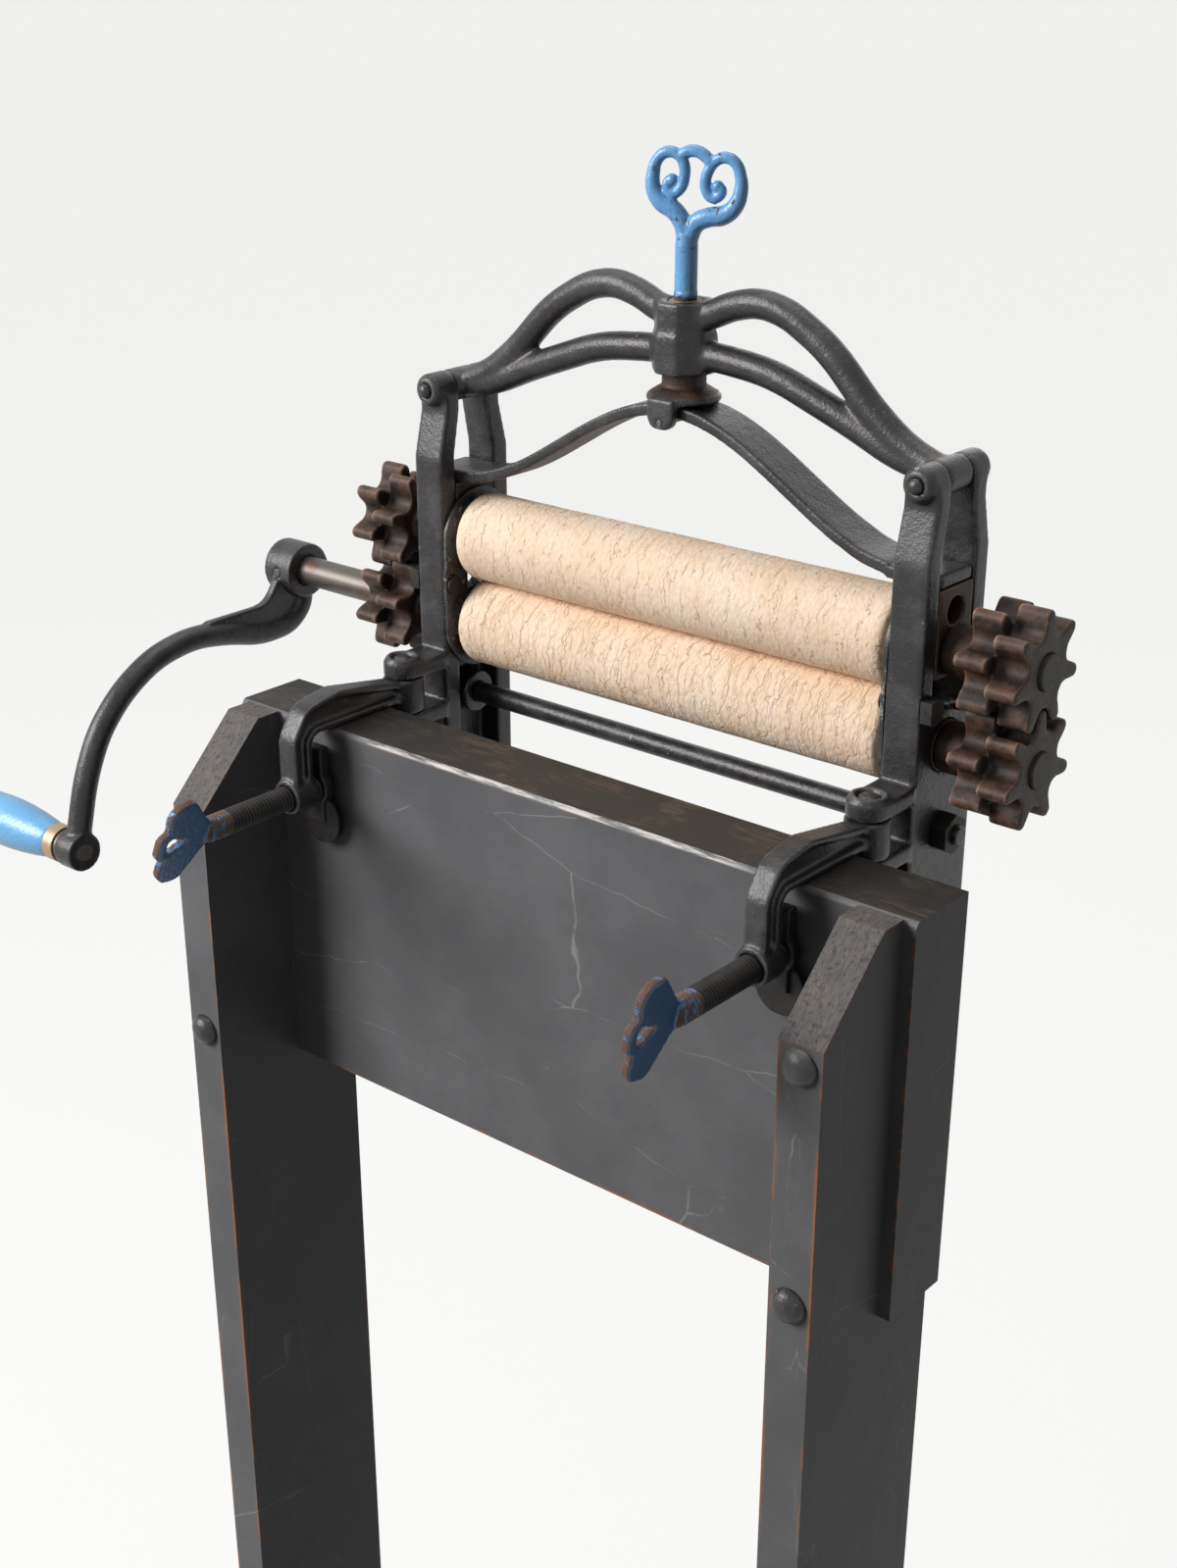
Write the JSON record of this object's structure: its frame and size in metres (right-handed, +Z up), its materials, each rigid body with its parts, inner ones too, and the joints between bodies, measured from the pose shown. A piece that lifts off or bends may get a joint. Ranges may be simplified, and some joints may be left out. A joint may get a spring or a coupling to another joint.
{
  "type": "laundry wringer",
  "caption": "Hand-cranked laundry wringer: geared rubber rolls in iron side frames under a bow spring and screw, clamped to the board of a wooden stand.",
  "frame": {"origin": "on the floor under the middle of the overall box", "axes": "+Z up, +X along the rolls from the crank to the free gear end, +Y from the operator's side of the board to the rolls"},
  "size_m": [0.5981, 0.46, 1.1906],
  "materials": {
    "painted_wood": "black paint worn to brown wood at the edges",
    "japanned_iron": "black japan on cast iron, soft sheen",
    "rusty_iron": "bare iron with an even brown rust",
    "shaft_steel": "dull grey steel",
    "roll_rubber": "tan rubber, dry and finely cracked",
    "sky_blue_paint": "light blue paint, chipped",
    "deep_blue_paint": "deep blue paint, chipped",
    "blue_handle": "light blue paint on turned wood, worn"
  },
  "bodies": {
    "stand_and_frames": {"left_leg": "painted_wood", "right_leg": "painted_wood", "left_foot": "painted_wood", "right_foot": "painted_wood", "cross_board": "painted_wood", "lower_stretcher": "painted_wood", "foot_pegs": "painted_wood", "stretcher_screws": "rusty_iron", "carriage_bolts": "japanned_iron", "bolt_washers": "rusty_iron", "bolt_nuts": "rusty_iron", "left_side_frame": "japanned_iron", "right_side_frame": "japanned_iron", "top_bar": "japanned_iron", "top_bar_pins": "japanned_iron", "stretcher_rod": "rusty_iron", "stretcher_nuts": "rusty_iron", "left_lower_bush": "rusty_iron", "right_lower_bush": "rusty_iron", "left_end_guard": "japanned_iron", "right_end_guard": "japanned_iron", "guard_bolts": "rusty_iron", "clamp_pins": "japanned_iron"},
    "lower_roll": {"lower_roll_rubber": "roll_rubber", "lower_roll_shaft": "shaft_steel", "left_lower_gear": "rusty_iron", "right_lower_gear": "rusty_iron", "crank_arm": "japanned_iron", "crank_cross_pin": "rusty_iron", "handle_spindle": "shaft_steel"},
    "handle": {"handle_ferrule": "rusty_iron", "crank_handle": "blue_handle"},
    "bearing_carriage": {"left_bearing_block": "rusty_iron", "right_bearing_block": "rusty_iron"},
    "upper_roll": {"upper_roll_rubber": "roll_rubber", "upper_roll_shaft": "shaft_steel", "left_upper_gear": "rusty_iron", "right_upper_gear": "rusty_iron"},
    "saddle": {"saddle": "rusty_iron", "saddle_pin": "rusty_iron", "bow_spring": "japanned_iron"},
    "pressure_screw": {"pressure_screw": "sky_blue_paint"},
    "left_clamp_arm": {"left_clamp_arm": "japanned_iron"},
    "left_clamp_jaw": {"left_clamp_jaw": "rusty_iron"},
    "left_clamp_screw": {"left_clamp_screw": "deep_blue_paint"},
    "right_clamp_arm": {"right_clamp_arm": "japanned_iron"},
    "right_clamp_jaw": {"right_clamp_jaw": "rusty_iron"},
    "right_clamp_screw": {"right_clamp_screw": "deep_blue_paint"}
  },
  "joints": [
    {"name": "crank_turn", "type": "hinge", "parent": "stand_and_frames", "child": "lower_roll", "pos_m": [0.09575, 0.11, 0.948], "axis": [1, 0, 0], "continuous": true},
    {"name": "handle_spin", "type": "hinge", "parent": "lower_roll", "child": "handle", "pos_m": [-0.23425, -0.055, 0.832], "axis": [1, 0, 0], "continuous": true},
    {"name": "upper_roll_lift", "type": "slide", "parent": "stand_and_frames", "child": "bearing_carriage", "axis": [0, 0, 1], "range_m": [0, 0.009], "stiffness_N_per_m": 9000, "springref_m": -0.02, "deforming": ["bow_spring"]},
    {"name": "upper_roll_turn", "type": "hinge", "parent": "bearing_carriage", "child": "upper_roll", "pos_m": [0.09575, 0.11, 0.99285], "axis": [1, 0, 0], "continuous": true},
    {"name": "saddle_slide", "type": "slide", "parent": "stand_and_frames", "child": "saddle", "axis": [0, 0, 1], "range_m": [0, 0.005]},
    {"name": "pressure_screw_turn", "type": "hinge", "parent": "saddle", "child": "pressure_screw", "pos_m": [0.09575, 0.11, 1.128], "axis": [0, 0, 1], "range_deg": [0, 562.5]},
    {"name": "left_clamp_swing", "type": "hinge", "parent": "stand_and_frames", "child": "left_clamp_arm", "pos_m": [-0.04575, 0.063, 0.918], "axis": [0, 0, 1], "range_deg": [-6, 6]},
    {"name": "left_jaw_slide", "type": "slide", "parent": "left_clamp_arm", "child": "left_clamp_jaw", "axis": [0, -1, 0], "range_m": [0, 0.0039]},
    {"name": "left_screw_turn", "type": "hinge", "parent": "left_clamp_jaw", "child": "left_clamp_screw", "pos_m": [-0.04575, -0.04, 0.8853], "axis": [0, -1, 0], "range_deg": [0, 668.57]},
    {"name": "right_clamp_swing", "type": "hinge", "parent": "stand_and_frames", "child": "right_clamp_arm", "pos_m": [0.23725, 0.063, 0.918], "axis": [0, 0, 1], "range_deg": [-6, 6]},
    {"name": "right_jaw_slide", "type": "slide", "parent": "right_clamp_arm", "child": "right_clamp_jaw", "axis": [0, -1, 0], "range_m": [0, 0.0039]},
    {"name": "right_screw_turn", "type": "hinge", "parent": "right_clamp_jaw", "child": "right_clamp_screw", "pos_m": [0.23725, -0.04, 0.8853], "axis": [0, -1, 0], "range_deg": [0, 668.57]}
  ],
  "couplings": [
    {"joint": "upper_roll_turn", "follows": "crank_turn", "ratio": -1},
    {"joint": "pressure_screw_turn", "follows": "saddle_slide", "rad_per_m": 1963.5},
    {"joint": "left_screw_turn", "follows": "left_jaw_slide", "rad_per_m": 2992},
    {"joint": "right_screw_turn", "follows": "right_jaw_slide", "rad_per_m": 2992}
  ]
}
